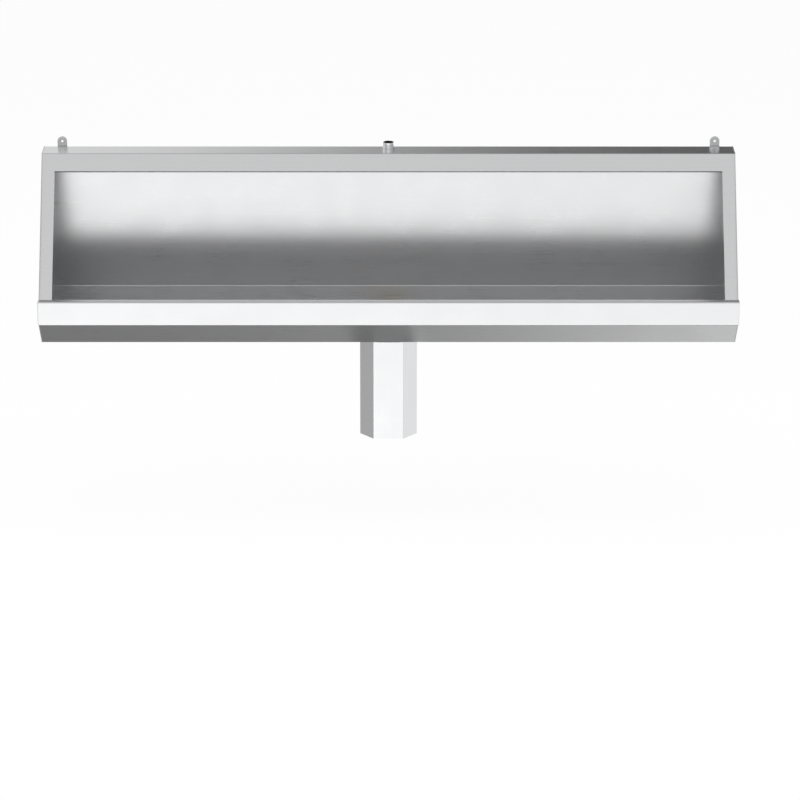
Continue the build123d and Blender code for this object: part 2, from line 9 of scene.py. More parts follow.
import bmesh
import bpy
from bpy.props import FloatProperty, FloatVectorProperty, PointerProperty
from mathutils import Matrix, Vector


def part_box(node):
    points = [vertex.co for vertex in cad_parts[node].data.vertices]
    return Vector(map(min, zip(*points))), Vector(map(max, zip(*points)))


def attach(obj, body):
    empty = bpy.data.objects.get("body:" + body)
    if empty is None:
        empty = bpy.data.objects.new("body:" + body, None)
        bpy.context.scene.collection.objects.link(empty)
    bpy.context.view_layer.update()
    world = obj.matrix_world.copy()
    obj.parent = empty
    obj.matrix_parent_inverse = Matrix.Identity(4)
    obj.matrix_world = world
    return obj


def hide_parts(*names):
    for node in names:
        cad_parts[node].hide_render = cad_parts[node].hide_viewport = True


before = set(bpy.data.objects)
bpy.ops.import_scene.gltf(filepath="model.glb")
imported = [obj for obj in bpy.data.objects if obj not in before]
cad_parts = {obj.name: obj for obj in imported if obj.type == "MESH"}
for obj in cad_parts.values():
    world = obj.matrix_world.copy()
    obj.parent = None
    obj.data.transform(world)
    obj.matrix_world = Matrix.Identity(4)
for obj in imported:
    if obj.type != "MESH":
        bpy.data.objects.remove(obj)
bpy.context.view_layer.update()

bl_info = {
    "name": "Trough urinal",
    "version": (1, 0, 0),
    "blender": (4, 5, 0),
    "location": "3D View > Sidebar > Trough",
    "description": "Finishes, welds, threads and studio for a stainless steel trough urinal",
    "category": "Object",
}

MM = 0.001
SAME_PLACE = 0.01 * MM  # corners nearer than this lie at one place
SHARP_FOLD = radians(38)  # steeper folds stay sharp in the pieces made here
ROUNDED_FOLD = radians(40)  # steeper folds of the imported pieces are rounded
THREAD_ROWS = 8  # rows of corners to each turn of the thread
ALONG_X = Vector((1, 0, 0))
ALONG_Y = Vector((0, 1, 0))
ALONG_Z = Vector((0, 0, 1))


def length(name, description, default):
    """A size that the sidebar shows as a length."""
    return FloatProperty(name=name, description=description, default=default, unit="LENGTH", precision=5)


def share(name, description, default):
    """A number from 0 to 1."""
    return FloatProperty(
        name=name, description=description, default=default, min=0, max=1, subtype="FACTOR"
    )


def glow(name, description, default):
    """A strength of light, where 1 is white."""
    return FloatProperty(name=name, description=description, default=default, min=0)


def power(name, description, default):
    """The power of a lamp in watts."""
    return FloatProperty(name=name, description=description, default=default, min=0, subtype="POWER")


def colour(name, description, default):
    """A colour, written as the light that it sends back."""
    return FloatVectorProperty(
        name=name, description=description, default=default, min=0, max=1, subtype="COLOR"
    )


class TROUGH_PG_steel(bpy.types.PropertyGroup):
    """Finish of the stainless sheet, bar and tube."""

    sheet_colour: colour("Sheet colour", "Colour of the satin sheet", (0.722, 0.725, 0.732))
    bar_colour: colour("Bar colour", "Colour of the mill finish bar and strip", (0.60, 0.605, 0.61))
    tube_colour: colour("Tube colour", "Colour of the polished tube and turned pieces", (0.84, 0.84, 0.85))
    weld_colour: colour("Weld colour", "Colour of the brushed weld beads", (0.62, 0.61, 0.59))
    # The bore's colour is painted shade: near black where shade falls inside the spigot's bore.
    painted_bore_shade_colour: colour("Painted bore shade colour", "Colour of the dull bore of the spigot", (0.05, 0.048, 0.045))
    sheet_roughness: share("Sheet roughness", "Roughness of the satin sheet", 0.29)
    bar_roughness: share("Bar roughness", "Roughness of the mill finish", 0.34)
    tube_roughness: share("Tube roughness", "Roughness of the polished spigot", 0.16)
    drawn_roughness: share("Drawn roughness", "Roughness of the drawn pipes and the flange", 0.22)
    grain_length: length("Grain length", "Length of one brushed scratch", 60 * MM)
    grain_width: length("Grain width", "Width of one brushed scratch", 0.3 * MM)
    streak_length: length("Streak length", "Length of one soft streak of the belt", 500 * MM)
    streak_width: length("Streak width", "Width of one soft streak of the belt", 6 * MM)
    wipe_size: length("Wipe mark size", "Size of the faint clouds left by wiping", 90 * MM)
    edge_reach: length("Edge wear reach", "How far an edge is rubbed bright", 1.2 * MM)
    deburr: length("Deburred edge", "Rounding of the sheared edges", 0.3 * MM)


class TROUGH_PG_fittings(bpy.types.PropertyGroup):
    """Finish of the brass, rubber and plastic pieces."""

    brass_colour: colour("Brass colour", "Colour of the machined brass", (0.72, 0.56, 0.31))
    rubber_colour: colour("Rubber colour", "Colour of the seals", (0.035, 0.035, 0.036))
    plastic_colour: colour("Plastic colour", "Colour of the moulded trap", (0.80, 0.80, 0.78))
    plastic_roughness: share("Plastic roughness", "Roughness of the moulded trap", 0.38)
    nut_edge: length("Nut edge", "Rounding of the backnut's edges", 0.8 * MM)
    turned_edge: length("Turned edge", "Rounding of the turned flange's edges", 0.4 * MM)
    moulded_edge: length("Moulded edge", "Rounding of the moulded edges", 0.5 * MM)
    thread_pitch: length("Thread pitch", "Pitch of the thread on the waste tail", 2.0 * MM)
    thread_depth: length("Thread depth", "Depth of the thread on the waste tail", 0.9 * MM)
    seal_bulge: length("Seal bulge", "How far a squeezed seal bulges", 0.6 * MM)


class TROUGH_PG_welds(bpy.types.PropertyGroup):
    """Sizes of the weld beads."""

    corner_bead: length("Corner bead", "Radius of the bead inside the ends", 1.2 * MM)
    seam_bead: length("Seam bead", "Radius of the ground seam round the ends", 0.5 * MM)
    strap_bead: length("Strap bead", "Radius of the beads along the straps", 1.4 * MM)
    strap_run: length("Strap run", "Length of each bead along a strap", 36 * MM)
    spigot_bead: length("Spigot bead", "Radius of the bead round the inlet spigot", 0.9 * MM)
    tack_bead: length("Tack bead", "Radius of the tacks on clips and runners", 0.9 * MM)
    tack_run: length("Tack run", "Length of each tack on clips and runners", 10 * MM)
    ripple_pitch: length("Ripple pitch", "Distance between the ripples of a bead", 1.6 * MM)
    ripple_share: share("Ripple share", "Height of a ripple as a share of the bead", 0.14)


class TROUGH_PG_stage(bpy.types.PropertyGroup):
    """Camera, floor and light."""

    floor_drop: length("Floor drop", "Height of the hanging holes over the floor", 0.98)
    camera_distance: length("Camera distance", "Distance from the aimed point to the camera", 10.2814)
    camera_tilt: FloatProperty(
        name="Camera tilt",
        description="How far the camera looks down",
        default=radians(18.913),
        subtype="ANGLE",
    )
    aim_out: length("Aim from wall", "Distance of the aimed point from the wall", 0.150)
    aim_drop: length("Aim drop", "Drop of the aimed point under the hanging holes", 0.6624)
    focal_length: FloatProperty(
        name="Focal length", description="Focal length in millimetres", default=176.25, min=1, max=500
    )
    frame_shift: FloatProperty(
        name="Frame shift", description="Sideways shift of the picture", default=0.0144, min=-1, max=1
    )
    front_card: glow("Front card", "Light from a white card low in front", 1.70)
    card_fall: glow("Card fall", "How much weaker that card is on the right than on the left", 0.60)
    front_low: glow("Front, low", "Light from in front and below", 1.10)
    front_lamp: glow("Front lamp", "Light from the lamp over the camera", 1.25)
    front_level: glow("Front, level", "Light from in front, beside that lamp", 0.58)
    front_high: glow("Front, high", "Light from in front and above", 0.82)
    overhead: glow("Overhead", "Light from straight above", 0.36)
    back_left: glow("Back left", "Light from behind on the left", 0.94)
    back_right: glow("Back right", "Light from behind on the right", 0.08)
    side_level: glow("Right, level", "Light from straight right", 0.50)
    side_left: glow("Left, low", "Light from the left and below", 0.48)
    side_right: glow("Right, low", "Light from the right and below", 1.08)
    under: glow("Under", "Light from straight below", 0.225)
    under_back: glow("Under, back right", "Light from below, behind and to the right", 1.22)
    box_power: power("Soft box", "Power of each soft box beside the camera", 25)
    top_power: power("Top lamp", "Power of the soft top lamp", 95)
    floor_white: share("Floor white", "How white the floor looks past its shadow", 0.93)
    floor_paint: colour("Floor paint", "Colour of the floor in its shadow", (0.95, 0.95, 0.95))
    floor_reach: length("Floor reach", "Distance from the middle of the floor to its sides", 30.0)


class Socket:
    """An output of a shader node that can be used in sums."""

    def __init__(self, shader, output):
        self.shader = shader
        self.output = output

    def math(self, operation, first, second):
        """One Math node on this value and another."""
        return self.shader.add("ShaderNodeMath", {"operation": operation}, {0: first, 1: second})

    def __add__(self, other):
        return self.math("ADD", self, other)

    def __radd__(self, other):
        return self.math("ADD", other, self)

    def __sub__(self, other):
        return self.math("SUBTRACT", self, other)

    def __rsub__(self, other):
        return self.math("SUBTRACT", other, self)

    def __mul__(self, other):
        return self.math("MULTIPLY", self, other)

    def __rmul__(self, other):
        return self.math("MULTIPLY", other, self)

    def __truediv__(self, other):
        return self.math("DIVIDE", self, other)

    def __rtruediv__(self, other):
        return self.math("DIVIDE", other, self)

    def clamped(self):
        """This value held between 0 and 1."""
        return self.shader.add("ShaderNodeClamp", {}, {"Value": self})

    def eased(self, start, end):
        """0 before the start, 1 past the end and a soft rise between them."""
        return self.shader.add(
            "ShaderNodeMapRange",
            {"interpolation_type": "SMOOTHSTEP"},
            {"Value": self, "From Min": start, "From Max": end},
        )

    def swing(self, amount):
        """This value, which lies round 0.5, as a swing round 0."""
        return (self - 0.5) * amount

    def between(self, first, second):
        """The first value where this is 0 and the second where it is 1."""
        return first + (second - first) * self


class Shader:
    """The nodes of one material or world, added one at a time."""

    def __init__(self, tree):
        tree.nodes.clear()
        self.tree = tree

    def add(self, kind, settings=None, sockets=None, output=0):
        """Adds a node, sets it up, fills its sockets and gives one of its outputs."""
        node = self.tree.nodes.new(kind)
        for setting, value in (settings or {}).items():
            setattr(node, setting, value)
        for socket, value in (sockets or {}).items():
            if isinstance(value, Socket):
                self.tree.links.new(value.output, node.inputs[socket])
            else:
                node.inputs[socket].default_value = value
        return Socket(self, node.outputs[output]) if node.outputs else None

    def finish(self, surface, kind="ShaderNodeOutputMaterial"):
        """Sends a surface to the material's or the world's output."""
        self.add(kind, {}, {"Surface": surface})

    def coat(self, sockets):
        """Finishes the material with one Principled surface."""
        self.finish(self.add("ShaderNodeBsdfPrincipled", {}, sockets))

    def parts(self, place):
        """The X, Y and Z of a place or a direction."""
        return [self.add("ShaderNodeSeparateXYZ", {}, {0: place}, output=part) for part in "XYZ"]

    def noise(self, stretch, detail=2.0):
        """Noise over the piece, with its cells stretched to the given sizes along X, Y and Z."""
        place = self.add("ShaderNodeTexCoord", output="Object")
        spread = self.add("ShaderNodeVectorMath", {"operation": "DIVIDE"}, {0: place, 1: tuple(stretch)})
        sockets = {"Vector": spread, "Scale": 1.0, "Detail": detail, "Roughness": 0.5}
        return self.add("ShaderNodeTexNoise", {}, sockets)

    def edges(self, reach):
        """1 on edges and 0 on flat places, reaching a distance from each edge."""
        rounded = self.add("ShaderNodeBevel", {"samples": 6}, {"Radius": reach})
        straight = self.add("ShaderNodeNewGeometry", output="Normal")
        agreement = self.add(
            "ShaderNodeVectorMath",
            {"operation": "DOT_PRODUCT"},
            {0: rounded, 1: straight},
            output="Value",
        )
        return ((1 - agreement) * 6).clamped()

    def inside_bore(self, axis, radius, mouth):
        """1 inside an upright bore, below its mouth, and 0 outside it."""
        place = self.add("ShaderNodeTexCoord", output="Object")
        x, y, z = self.parts(place)
        squared = (x - axis.x) * (x - axis.x) + (y - axis.y) * (y - axis.y)
        within = 1 - squared.eased((radius + 0.1 * MM) ** 2, (radius + 0.3 * MM) ** 2)
        return within * (mouth - z).eased(0.0, 1.0 * MM)

    def blend(self, factor, first, second):
        """A mix of two colours."""
        return self.add(
            "ShaderNodeMix",
            {"data_type": "RGBA"},
            {"Factor": factor, 6: solid(first), 7: solid(second)},
            output=2,
        )

    def bump(self, height, distance, strength):
        """A Bump node on a height."""
        return self.add("ShaderNodeBump", {}, {"Height": height, "Distance": distance, "Strength": strength})


def solid(tint):
    """A colour with full alpha, unless it already comes from a node."""
    return tint if isinstance(tint, Socket) else (*tint[:3], 1.0)


def lighter(tint, amount):
    """A colour made lighter or, with a negative amount, darker."""
    return tuple(min(1.0, max(0.0, part * (1 + amount))) for part in tint)


def new_material(name):
    """A material and the Shader that fills it."""
    material = bpy.data.materials.new(name)
    material.use_nodes = True
    return material, Shader(material.node_tree)


def even(size):
    """Cell sizes that are the same along X, Y and Z."""
    return Vector((size, size, size))


def cells(run, along, across):
    """Cell sizes of a grain that runs along one axis."""
    return even(across) + (along - across) * run


def brushed_steel(name, tint, roughness, run, steel, bore=None):
    """Stainless steel with fine scratches along one axis, soft belt streaks, wipe marks and rubbed edges.

    A bore, given as its axis, radius and mouth, is duller inside and painted near black there as painted
    shade.
    """
    material, shader = new_material(name)
    grain = shader.noise(cells(run, steel.grain_length, steel.grain_width), detail=3.0)
    streaks = shader.noise(cells(run, steel.streak_length, steel.streak_width), detail=2.0)
    wiping = shader.noise(even(steel.wipe_size), detail=3.0)
    worn = shader.edges(steel.edge_reach)
    shade = (0.5 + grain.swing(0.7) + streaks.swing(0.5)).clamped()
    body = shader.blend(shade, lighter(tint, -0.045), lighter(tint, 0.045))
    rubbed = shader.blend(worn * 0.6, body, lighter(tint, 0.12))
    rough = roughness + grain.swing(0.08) + streaks.swing(0.04) + wiping.swing(0.06) - worn * 0.06
    if bore:
        # Painted shade: the bore's inside is painted near black where shade falls in it, and made duller.
        painted_bore_shade = shader.inside_bore(*bore)
        rubbed = shader.blend(painted_bore_shade, rubbed, steel.painted_bore_shade_colour)
        rough = painted_bore_shade * 0.3 + rough
    shader.coat(
        {
            "Base Color": rubbed,
            "Metallic": 1.0,
            "Roughness": rough,
            "Normal": shader.bump(grain, 0.02 * MM, 0.35),
        }
    )
    return material


def weld_metal(name, steel):
    """Brushed weld metal: darker than the sheet, with a coarse skin."""
    material, shader = new_material(name)
    skin = shader.noise(even(0.5 * MM), detail=4.0)
    clouds = shader.noise(even(5 * MM))
    body = shader.blend(clouds, lighter(steel.weld_colour, -0.15), lighter(steel.weld_colour, 0.15))
    shader.coat(
        {
            "Base Color": body,
            "Metallic": 1.0,
            "Roughness": 0.34 + skin.swing(0.2),
            "Normal": shader.bump(skin, 0.1 * MM, 0.4),
        }
    )
    return material


def machined_brass(name, fittings):
    """Machined brass with turning marks, dull clouds and bright edges."""
    material, shader = new_material(name)
    marks = shader.noise(Vector((20 * MM, 20 * MM, 0.25 * MM)))
    dull = shader.noise(even(12 * MM), detail=4.0)
    worn = shader.edges(0.8 * MM)
    body = shader.blend(dull, lighter(fittings.brass_colour, -0.2), lighter(fittings.brass_colour, 0.06))
    bright = shader.blend(worn * 0.7, body, lighter(fittings.brass_colour, 0.2))
    shader.coat(
        {
            "Base Color": bright,
            "Metallic": 1.0,
            "Roughness": 0.27 + dull.swing(0.2) + marks.swing(0.1) - worn * 0.08,
            "Normal": shader.bump(marks, 0.03 * MM, 0.4),
        }
    )
    return material


def seal_rubber(name, fittings):
    """Black rubber with a fine matt skin and a grey bloom."""
    material, shader = new_material(name)
    skin = shader.noise(even(0.3 * MM), detail=3.0)
    bloom = shader.noise(even(9 * MM), detail=3.0)
    worn = shader.edges(0.6 * MM)
    tint = fittings.rubber_colour
    body = shader.blend((bloom * 0.8 + worn * 0.4).clamped(), tint, lighter(tint, 1.1))
    shader.coat(
        {
            "Base Color": body,
            "Roughness": 0.62 + bloom.swing(0.25),
            "Specular IOR Level": 0.4,
            "Normal": shader.bump(skin, 0.05 * MM, 0.5),
        }
    )
    return material


def moulded_plastic(name, fittings):
    """White moulded plastic with a fine spark texture, faint flow clouds and polished edges."""
    material, shader = new_material(name)
    spark = shader.noise(even(0.35 * MM), detail=2.0)
    flow = shader.noise(even(30 * MM), detail=3.0)
    worn = shader.edges(0.8 * MM)
    tint = fittings.plastic_colour
    body = shader.blend(flow, lighter(tint, -0.04), lighter(tint, 0.03))
    shader.coat(
        {
            "Base Color": body,
            "Roughness": fittings.plastic_roughness + flow.swing(0.12) - worn * 0.1,
            "IOR": 1.49,
            "Normal": shader.bump(spark, 0.05 * MM, 0.25),
        }
    )
    return material


def soften(node, width):
    """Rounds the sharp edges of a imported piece, without touching its own mesh."""
    node.modifiers.new("joined_corners", "WELD").merge_threshold = 0.001 * MM
    bevel = node.modifiers.new("rounded_edges", "BEVEL")
    bevel.width = width
    bevel.segments = 2
    bevel.limit_method = "ANGLE"
    bevel.angle_limit = ROUNDED_FOLD
    bevel.harden_normals = False
    bevel.miter_outer = "MITER_ARC"
    node.modifiers.new("even_shading", "WEIGHTED_NORMAL").keep_sharp = True


def dress(name, material, width=0.0):
    """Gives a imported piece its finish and, with a width, softer edges."""
    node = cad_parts[name]
    for slot in node.material_slots:
        slot.material = material
    if width:
        soften(node, width)


def add_piece(name, build, material, body, replaced=()):
    """Makes a piece from mesh code, in its place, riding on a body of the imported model."""
    mesh = bpy.data.meshes.new(name)
    work = bmesh.new()
    build(work)
    bmesh.ops.recalc_face_normals(work, faces=work.faces)
    work.to_mesh(mesh)
    work.free()
    mesh.shade_smooth()
    mesh.set_sharp_from_angle(angle=SHARP_FOLD)
    mesh.materials.append(material)
    piece = bpy.data.objects.new(name, mesh)
    bpy.context.scene.collection.objects.link(piece)
    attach(piece, body)
    if replaced:
        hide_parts(*replaced)


def join_rings(work, rings, closed):
    """Faces between neighbouring rings of corners and, if closed, from the last ring to the first."""
    count = len(rings[0])
    for row in range(len(rings) if closed else len(rings) - 1):
        here = rings[row]
        there = rings[(row + 1) % len(rings)]
        for step in range(count):
            beside = (step + 1) % count
            work.faces.new((here[step], here[beside], there[beside], there[step]))


def add_lathe(work, outline, centre, steps, pitch=0.0):
    """A turned piece on an upright axis. A point of the outline is radius, height and depth of thread."""
    rings = []
    for radius, height, thread in outline:
        ring = []
        for step in range(steps):
            turn = step / steps
            place = (height / pitch - turn) % 1.0 if pitch else 0.0
            cut = thread * abs(2 * place - 1)
            reach = radius - cut
            corner = (reach * cos(2 * pi * turn), reach * sin(2 * pi * turn), height)
            ring.append(work.verts.new(centre + Vector(corner)))
        rings.append(ring)
    join_rings(work, rings, closed=True)


def add_bead(work, path, radius, welds, closed=False, sides=8):
    """A weld bead along a path, with a ripple for each drop of the torch."""
    spots = along_path(path, welds.ripple_pitch / 4, closed)
    rings = []
    for number, spot in enumerate(spots):
        before = spots[number - 1] if closed or number else spot
        after = spots[(number + 1) % len(spots)] if closed or number + 1 < len(spots) else spot
        run = (after - before).normalized()
        aside = run.cross(ALONG_Z if abs(run.z) < 0.9 else ALONG_X).normalized()
        up = aside.cross(run)
        swell = 1 + welds.ripple_share * sin(pi * number / 2)
        if not closed:
            taper = min(number, len(spots) - 1 - number) / 3
            swell *= min(1.0, 0.35 + taper)
        turns = [2 * pi * side / sides for side in range(sides)]
        reach = radius * swell
        rings.append([work.verts.new(spot + reach * (aside * cos(t) + up * sin(t))) for t in turns])
    join_rings(work, rings, closed)
    if not closed:
        work.faces.new(rings[0])
        work.faces.new(rings[-1])


def along_path(path, step, closed):
    """Points at even distances along a path of straight runs."""
    corners = list(path) + [path[0]] if closed else list(path)
    spots = []
    for start, end in zip(corners, corners[1:]):
        count = max(1, round((end - start).length / step))
        spots += [start.lerp(end, number / count) for number in range(count)]
    return spots if closed else spots + [corners[-1]]


def round_path(centre, radius):
    """Points on a level circle."""
    steps = 48
    turns = [2 * pi * step / steps for step in range(steps)]
    return [centre + Vector((radius * cos(turn), radius * sin(turn), 0)) for turn in turns]


def upright_axis(low, high):
    """The point at height 0 on the upright axis of a turned piece's box."""
    return (low + high) / 2 - (low.z + high.z) / 2 * ALONG_Z


def ring_radii(node, axis, level):
    """The radii of a turned piece's corners round an upright axis, at one level."""
    corners = [corner.co for corner in node.data.vertices if abs(corner.co.z - level) < SAME_PLACE]
    return sorted({round(hypot(spot.x - axis.x, spot.y - axis.y), 4) for spot in corners})


def end_outline(node, x):
    """The corners of a flat end panel's outline at one of its faces, in order round their middle."""
    spots = [corner.co.copy() for corner in node.data.vertices if abs(corner.co.x - x) < SAME_PLACE]
    middle = sum(spots, Vector()) / len(spots)
    return sorted(spots, key=lambda spot: atan2(spot.z - middle.z, spot.y - middle.y))


def inner_outline(node, x, inside):
    """The corners of a folded sheet's inner side at one end, in order round a point inside the fold."""
    mesh = node.data
    corners = set()
    for face in mesh.polygons:
        inwards = inside - face.center
        inwards.x = 0
        if abs(face.normal.x) < 0.5 and inwards.dot(face.normal) > 0:
            for index in face.vertices:
                spot = mesh.vertices[index].co
                if abs(spot.x - x) < SAME_PLACE:
                    corners.add((round(spot.y, 6), round(spot.z, 6)))
    in_order = sorted(corners, key=lambda corner: atan2(corner[1] - inside.z, corner[0] - inside.y))
    return [Vector((x, y, z)) for y, z in in_order]


class TROUGH_OT_sheets(bpy.types.Operator):
    """Finish the folded sheets of the trough: basin, front frame, rim and end panels"""

    bl_idname = "trough.sheets"
    bl_label = "Folded sheets"

    def execute(self, context):
        steel = context.scene.trough_steel
        tint = steel.sheet_colour
        rough = steel.sheet_roughness
        long_grain = brushed_steel("satin_sheet_lengthwise", tint, rough, ALONG_X, steel)
        # The end panels get the same sheet painted a tenth darker, as painted shade on the ends.
        shaded_end_grain = brushed_steel("satin_sheet_upright_shaded", lighter(tint, -0.1), rough, ALONG_Z, steel)
        for name in ("basin_shell", "front_frame", "front_rim"):
            dress(name, long_grain, steel.deburr)
        for name in ("end_panel_left", "end_panel_right"):
            dress(name, shaded_end_grain, steel.deburr)
        return {"FINISHED"}


class TROUGH_OT_straps(bpy.types.Operator):
    """Finish the two hanging straps"""

    bl_idname = "trough.straps"
    bl_label = "Hanging straps"

    def execute(self, context):
        steel = context.scene.trough_steel
        bar = brushed_steel("mill_finish_bar", steel.bar_colour, steel.bar_roughness, ALONG_Z, steel)
        dress("hanging_straps", bar, steel.deburr)
        return {"FINISHED"}


class TROUGH_OT_welds(bpy.types.Operator):
    """Weld the ends, the straps, the spigot, the clips and the runners"""

    bl_idname = "trough.welds"
    bl_label = "Weld beads"

    def execute(self, context):
        scene = context.scene
        welds = scene.trough_welds
        metal = weld_metal("brushed_weld", scene.trough_steel)
        self.weld_ends(welds, metal)
        self.weld_straps(welds, metal)
        self.weld_spigot(welds, metal)
        self.tack_clips(welds, metal)
        self.tack_runners(welds, metal)
        return {"FINISHED"}

    def weld_ends(self, welds, metal):
        """A bead in the corner between the basin and each end panel, and a ground seam outside it."""
        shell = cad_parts["basin_shell"]
        low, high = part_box("basin_shell")
        middle = (low + high) / 2
        for word, x in (("left", low.x), ("right", high.x)):
            inside = inner_outline(shell, x, middle)
            outside = end_outline(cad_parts[f"end_panel_{word}"], x)

            def build(work):
                add_bead(work, inside, welds.corner_bead, welds, sides=6)
                add_bead(work, outside, welds.seam_bead, welds, closed=True, sides=6)

            add_piece(f"end_weld_{word}", build, metal, "trough")

    def weld_straps(self, welds, metal):
        """Short beads down both edges of each strap, on the back of the basin."""
        low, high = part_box("hanging_straps")
        panel_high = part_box("basin_shell")[1]
        strap_width = 2 * high.z
        top = panel_high.z - welds.strap_run
        foot = low.z + welds.strap_run
        levels = (top, (top + foot) / 2, foot)
        edges = (low.x, low.x + strap_width, high.x - strap_width, high.x)

        def build(work):
            for x in edges:
                for level in levels:
                    start = Vector((x, panel_high.y, level - welds.strap_run / 2))
                    end = start + welds.strap_run * ALONG_Z
                    add_bead(work, [start, end], welds.strap_bead, welds)

        add_piece("strap_welds", build, metal, "trough")

    def weld_spigot(self, welds, metal):
        """A bead round the inlet spigot where it stands on the deck."""
        low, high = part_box("inlet_spigot")
        centre = (low + high) / 2
        centre.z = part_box("front_frame")[1].z
        path = round_path(centre, (high.x - low.x) / 2)

        def build(work):
            add_bead(work, path, welds.spigot_bead, welds, closed=True)

        add_piece("spigot_weld", build, metal, "trough")

    def tack_clips(self, welds, metal):
        """A tack along the front edge of each clip's foot, under the deck."""
        low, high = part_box("sparge_clips")
        ends = sorted({round(corner.co.x, 5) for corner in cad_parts["sparge_clips"].data.vertices})
        foot = Vector((0, low.y, high.z))

        def build(work):
            for left, right in zip(ends[::2], ends[1::2]):
                middle = foot + (left + right) / 2 * ALONG_X
                half = welds.tack_run / 2 * ALONG_X
                add_bead(work, [middle - half, middle + half], welds.tack_bead, welds)

        add_piece("clip_tacks", build, metal, "trough")

    def tack_runners(self, welds, metal):
        """Three tacks along the foot of each runner, under the floor."""

        def build(work):
            for word in ("left", "right"):
                low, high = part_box(f"cover_runner_{word}")
                x = min(low.x, high.x, key=abs)
                for part in (0.1, 0.5, 0.9):
                    middle = Vector((x, low.y + part * (high.y - low.y), high.z))
                    half = welds.tack_run / 2 * ALONG_Y
                    add_bead(work, [middle - half, middle + half], welds.tack_bead, welds)

        add_piece("runner_tacks", build, metal, "trough")


class TROUGH_OT_flush_pipe(bpy.types.Operator):
    """Finish the inlet spigot, the sparge pipes, their tee, plugs and clips"""

    bl_idname = "trough.flush_pipe"
    bl_label = "Flush pipe"

    def execute(self, context):
        steel = context.scene.trough_steel
        fittings = context.scene.trough_fittings
        low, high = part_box("inlet_spigot")
        axis = (low + high) / 2
        # The spigot's bore is painted dark inside as painted shade.
        bore = (axis, min(ring_radii(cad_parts["inlet_spigot"], axis, high.z)), high.z)
        turned = brushed_steel("turned_tube", steel.tube_colour, steel.tube_roughness, ALONG_X, steel, bore)
        drawn = brushed_steel("drawn_tube", steel.tube_colour, steel.drawn_roughness, ALONG_X, steel)
        strip = brushed_steel("mill_finish_strip", steel.bar_colour, steel.bar_roughness, ALONG_X, steel)
        dress("inlet_spigot", turned, steel.deburr)
        dress("sparge_pipe_left", drawn)
        dress("sparge_pipe_right", drawn)
        dress("sparge_clips", strip, steel.deburr)
        dress("sparge_tee", machined_brass("cast_brass", fittings), steel.deburr)
        dress("sparge_end_plugs", seal_rubber("plug_rubber", fittings), steel.deburr)
        return {"FINISHED"}


class TROUGH_OT_waste(bpy.types.Operator):
    """Make the waste flange and its gaskets, and finish the backnut and the strainer"""

    bl_idname = "trough.waste"
    bl_label = "Waste outlet"

    def execute(self, context):
        steel = context.scene.trough_steel
        fittings = context.scene.trough_fittings
        turned = brushed_steel("turned_flange", steel.tube_colour, steel.drawn_roughness, ALONG_X, steel)
        brass = machined_brass("machined_brass", fittings)
        rubber = seal_rubber("gasket_rubber", fittings)
        dress("waste_strainer", turned, steel.deburr)
        dress("waste_backnut", brass, fittings.nut_edge)
        self.make_flange(fittings, turned)
        for name in ("waste_top_gasket", "waste_bottom_gasket"):
            self.make_gasket(name, fittings, rubber)
        return {"FINISHED"}

    def make_flange(self, fittings, metal):
        """The flange's head with its strainer seat, and its tail with a thread below the floor."""
        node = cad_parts["waste_flange"]
        low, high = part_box("waste_flange")
        axis = upright_axis(low, high)
        levels = sorted({round(corner.co.z, 4) for corner in node.data.vertices})
        foot, under, shoulder, ledge = levels[:4]
        top = high.z
        bore, tail = ring_radii(node, axis, foot)
        seat, crown = ring_radii(node, axis, top)
        head = (high.x - low.x) / 2
        ease = fittings.turned_edge
        thread_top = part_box("waste_backnut")[1].z
        rows = round((thread_top - foot) / (fittings.thread_pitch / THREAD_ROWS))
        outline = [(bore + ease, foot, 0), (tail - fittings.thread_depth, foot, 0)]
        for row in range(1, rows):
            height = foot + (thread_top - foot) * row / rows
            run_out = min(1.0, row / THREAD_ROWS, (rows - row) / THREAD_ROWS)
            outline.append((tail, height, fittings.thread_depth * run_out))
        plain = [(tail, thread_top), (tail, under), (head - ease, under), (head, under + ease)]
        plain += [(head, shoulder - ease / 2), (head - ease / 2, shoulder)]
        plain += [(crown + ease, top - ease / 4), (crown, top), (seat + ease, top), (seat, top - ease)]
        plain += [(seat, ledge), (bore + ease, ledge), (bore, ledge - ease), (bore, foot + ease)]
        outline += [(radius, height, 0) for radius, height in plain]

        def build(work):
            add_lathe(work, outline, axis, 96, fittings.thread_pitch)

        add_piece("waste_flange_threaded", build, metal, "trough", ["waste_flange"])

    def make_gasket(self, name, fittings, rubber):
        """A flat ring that bulges where it is squeezed."""
        low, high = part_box(name)
        axis = upright_axis(low, high)
        inner, outer = ring_radii(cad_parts[name], axis, high.z)
        bulge = fittings.seal_bulge
        outline = [(inner, high.z, 0), (inner, low.z, 0)]
        for step in range(9):
            turn = pi * (step / 8 - 0.5)
            reach = outer - bulge + bulge * cos(turn)
            outline.append((reach, (low.z + high.z) / 2 + (high.z - low.z) / 2 * sin(turn), 0))

        def build(work):
            add_lathe(work, outline, axis, 72)

        add_piece(f"{name}_squeezed", build, rubber, "trough", [name])


class TROUGH_OT_trap(bpy.types.Operator):
    """Finish the bottle trap, its nuts and washers, the outlet pipe and the wall rosette"""

    bl_idname = "trough.trap"
    bl_label = "Bottle trap"

    def execute(self, context):
        fittings = context.scene.trough_fittings
        plastic = moulded_plastic("moulded_plastic", fittings)
        rubber = seal_rubber("washer_rubber", fittings)
        edge = fittings.moulded_edge
        for name in ("trap_body", "trap_cup", "trap_inlet_nut", "trap_outlet_nut"):
            dress(name, plastic, edge)
        for name in ("outlet_pipe", "wall_rosette"):
            dress(name, plastic, edge)
        for name in ("trap_inlet_washer", "trap_outlet_washer", "cup_seal_ring"):
            dress(name, rubber, edge / 2)
        return {"FINISHED"}


